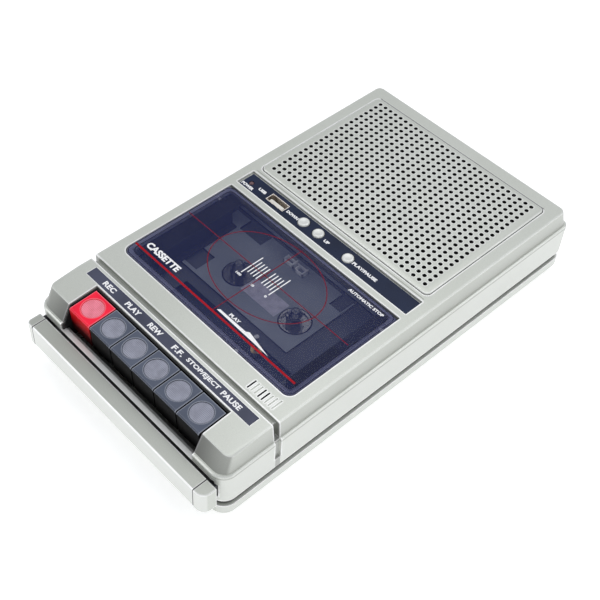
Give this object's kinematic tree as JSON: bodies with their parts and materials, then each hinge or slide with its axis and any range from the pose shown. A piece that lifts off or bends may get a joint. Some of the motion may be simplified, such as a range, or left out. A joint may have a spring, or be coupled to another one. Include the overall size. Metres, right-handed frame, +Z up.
{
  "type": "portable cassette player",
  "caption": "Slim portable cassette recorder with piano keys, smoked lid over the tape bay, USB strip, perforated speaker grille and pull-out handle.",
  "frame": {"origin": "within 1.2 mm of the centre of the footprint's bounding box, on the surface the rubber feet stand on", "axes": "+Z up, +Y from the handle and keys (front) to the speaker (back), +X to the right along the row of keys"},
  "size_m": [0.1424, 0.2601, 0.0468],
  "materials": {
    "case_silver": "satin silver with a fine metallic fleck",
    "dark_plastic": "matt",
    "black_plastic": "matt",
    "cloth": "woven acoustic cloth",
    "panel_navy": "glossy navy",
    "label_slate": "smooth slate blue",
    "rubber": "matt",
    "steel": "brushed",
    "zinc": "cast, satin",
    "ferrite": "dull ferrite",
    "brass": "machined",
    "window_smoke": "smoked clear",
    "white_plastic": "smooth",
    "key_red": "satin red",
    "key_slate": "satin slate",
    "paper": "pressed paper pulp",
    "circuit_board": "green solder mask",
    "iron_core": "laminated core",
    "led_red": "dark red lens",
    "button_silver": "silver-white, glossy"
  },
  "bodies": {
    "housing": {"top_case": "case_silver", "bottom_case": "case_silver", "speaker_grille": "case_silver", "grille_cloth": "cloth", "control_panel": "panel_navy", "key_label_strip": "label_slate", "key_bezel": "dark_plastic", "rubber_feet": "rubber", "case_screws": "steel", "battery_contacts": "steel", "handle_guides": "dark_plastic", "lid_hinge_pins": "steel", "cassette_well": "dark_plastic", "chassis_plate": "steel", "capstan_bearing": "brass", "motor": "zinc", "drive_belt": "rubber", "key_shaft": "steel", "key_springs": "steel", "speaker_basket": "zinc", "speaker_cone": "paper", "speaker_magnet": "ferrite", "main_board": "circuit_board", "control_board": "circuit_board", "usb_shell": "steel", "usb_tongue": "white_plastic", "power_led": "led_red", "audio_jacks": "dark_plastic", "ac_inlet": "black_plastic", "transformer": "iron_core", "microphone": "steel"},
    "lid": {"lid_window": "window_smoke", "cassette_holder": "dark_plastic"},
    "latch": {"lid_latch": "white_plastic"},
    "key_rec_body": {"key_rec": "key_red"},
    "key_play_body": {"key_play": "key_slate"},
    "key_rewind_body": {"key_rewind": "key_slate"},
    "key_fast_forward_body": {"key_fast_forward": "key_slate"},
    "key_stop_eject_body": {"key_stop_eject": "key_slate"},
    "key_pause_body": {"key_pause": "key_slate"},
    "button_down_body": {"button_down": "button_silver"},
    "button_up_body": {"button_up": "button_silver"},
    "button_play_pause_body": {"button_play_pause": "button_silver"},
    "handle": {"handle_bar": "case_silver", "handle_cap_left": "case_silver", "handle_cap_right": "case_silver", "handle_arms": "dark_plastic"},
    "supply_reel": {"supply_spindle": "dark_plastic"},
    "takeup_reel": {"takeup_spindle": "dark_plastic"},
    "flywheel_body": {"flywheel": "zinc", "capstan_shaft": "steel"},
    "pulley_body": {"motor_pulley": "brass"},
    "heads": {"head_plate": "steel", "playback_head": "steel", "erase_head": "white_plastic"},
    "pinch": {"pinch_arm": "steel"},
    "roller": {"pinch_roller": "rubber"},
    "volume": {"volume_wheel": "dark_plastic"},
    "door": {"battery_door": "case_silver"}
  },
  "joints": [
    {"name": "lid_hinge", "type": "hinge", "parent": "housing", "child": "lid", "pos_m": [0, -0.006, 0.0418], "axis": [-1, 0, 0], "range_deg": [0, 60]},
    {"name": "key_rec_pivot", "type": "hinge", "parent": "housing", "child": "key_rec_body", "pos_m": [-0.04175, -0.079, 0.026], "axis": [1, 0, 0], "range_deg": [0, 7], "stiffness_Nm_per_rad": 0.4},
    {"name": "key_play_pivot", "type": "hinge", "parent": "housing", "child": "key_play_body", "pos_m": [-0.0252, -0.079, 0.026], "axis": [1, 0, 0], "range_deg": [0, 7], "stiffness_Nm_per_rad": 0.4},
    {"name": "key_rewind_pivot", "type": "hinge", "parent": "housing", "child": "key_rewind_body", "pos_m": [-0.00865, -0.079, 0.026], "axis": [1, 0, 0], "range_deg": [0, 7], "stiffness_Nm_per_rad": 0.4},
    {"name": "key_fast_forward_pivot", "type": "hinge", "parent": "housing", "child": "key_fast_forward_body", "pos_m": [0.0079, -0.079, 0.026], "axis": [1, 0, 0], "range_deg": [0, 7], "stiffness_Nm_per_rad": 0.4},
    {"name": "key_stop_eject_pivot", "type": "hinge", "parent": "housing", "child": "key_stop_eject_body", "pos_m": [0.02445, -0.079, 0.026], "axis": [1, 0, 0], "range_deg": [0, 7], "stiffness_Nm_per_rad": 0.4},
    {"name": "key_pause_pivot", "type": "hinge", "parent": "housing", "child": "key_pause_body", "pos_m": [0.041, -0.079, 0.026], "axis": [1, 0, 0], "range_deg": [0, 7], "stiffness_Nm_per_rad": 0.4},
    {"name": "latch_slide", "type": "slide", "parent": "housing", "child": "latch", "axis": [0, -1, 0], "range_m": [0, 0.0015]},
    {"name": "button_down_press", "type": "slide", "parent": "housing", "child": "button_down_body", "axis": [0, 0, -1], "range_m": [0, 0.0005], "stiffness_N_per_m": 200},
    {"name": "button_up_press", "type": "slide", "parent": "housing", "child": "button_up_body", "axis": [0, 0, -1], "range_m": [0, 0.0005], "stiffness_N_per_m": 200},
    {"name": "button_play_pause_press", "type": "slide", "parent": "housing", "child": "button_play_pause_body", "axis": [0, 0, -1], "range_m": [0, 0.0005], "stiffness_N_per_m": 200},
    {"name": "handle_slide", "type": "slide", "parent": "housing", "child": "handle", "axis": [0, -1, 0], "range_m": [0, 0.04]},
    {"name": "supply_spin", "type": "hinge", "parent": "housing", "child": "supply_reel", "pos_m": [-0.01925, -0.0292, 0.03], "axis": [0, 0, 1], "continuous": true},
    {"name": "takeup_spin", "type": "hinge", "parent": "housing", "child": "takeup_reel", "pos_m": [0.02325, -0.0292, 0.03], "axis": [0, 0, 1], "continuous": true},
    {"name": "flywheel_spin", "type": "hinge", "parent": "housing", "child": "flywheel_body", "pos_m": [0.02325, -0.0552, 0.03], "axis": [0, 0, 1], "continuous": true},
    {"name": "motor_spin", "type": "hinge", "parent": "housing", "child": "pulley_body", "pos_m": [-0.038, -0.02, 0.01], "axis": [0, 0, 1], "continuous": true},
    {"name": "head_slide", "type": "slide", "parent": "housing", "child": "heads", "axis": [0, 1, 0], "range_m": [0, 0.006]},
    {"name": "pinch_arm_pivot", "type": "hinge", "parent": "heads", "child": "pinch", "pos_m": [0.0375, -0.071, 0.0327], "axis": [0, 0, 1], "range_deg": [0, 5], "stiffness_Nm_per_rad": 0.05},
    {"name": "pinch_roller_spin", "type": "hinge", "parent": "pinch", "child": "roller", "pos_m": [0.02325, -0.06835, 0.0385], "axis": [0, 0, 1], "continuous": true},
    {"name": "volume_turn", "type": "hinge", "parent": "housing", "child": "volume", "pos_m": [-0.0606, 0.046, 0.02], "axis": [0, 0, 1], "range_deg": [0, 270]},
    {"name": "battery_door_hinge", "type": "hinge", "parent": "housing", "child": "door", "pos_m": [0.0621, 0.06625, 0.0036], "axis": [0, -1, 0], "range_deg": [0, 90]}
  ],
  "couplings": [
    {"joint": "motor_spin", "follows": "flywheel_spin", "ratio": 5.7297},
    {"joint": "head_slide", "follows": "key_play_pivot", "m_per_rad": 0.049},
    {"joint": "latch_slide", "follows": "key_stop_eject_pivot", "m_per_rad": 0.0122}
  ]
}
